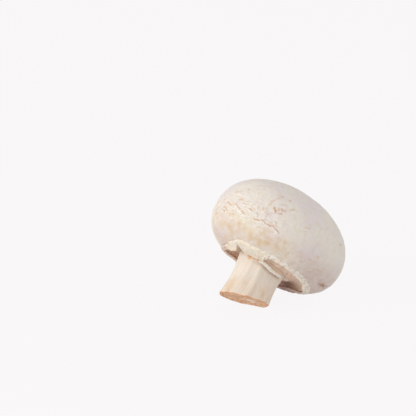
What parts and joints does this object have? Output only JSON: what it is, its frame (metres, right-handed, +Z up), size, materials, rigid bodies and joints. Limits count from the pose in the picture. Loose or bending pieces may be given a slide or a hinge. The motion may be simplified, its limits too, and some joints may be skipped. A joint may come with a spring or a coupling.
{
  "type": "button mushroom",
  "caption": "Closed white button mushroom as picked, lying on its domed cap and the edge of its cut stem, with the veil under the cap torn on one side.",
  "frame": {"origin": "middle of the footprint box, at the surface that the mushroom lies on", "axes": "+Z up, the stem points along -Y and down at about 40 degrees, the crown points along +Y and up"},
  "size_m": [0.0502, 0.047, 0.044],
  "materials": {
    "cap_skin": "matt white skin with a silky sheen, fine flat scales, tan flecks and hairline cracks",
    "veil_skin": "thin matt cream membrane, pleated, browner in the hollow behind its torn hem",
    "stem_flesh": "matt cream flesh with lengthwise fibres and faint orange streaks, the sliced end dried to orange brown"
  },
  "bodies": {
    "root": {"cap": "cap_skin", "veil": "veil_skin", "stem": "stem_flesh"}
  },
  "joints": []
}
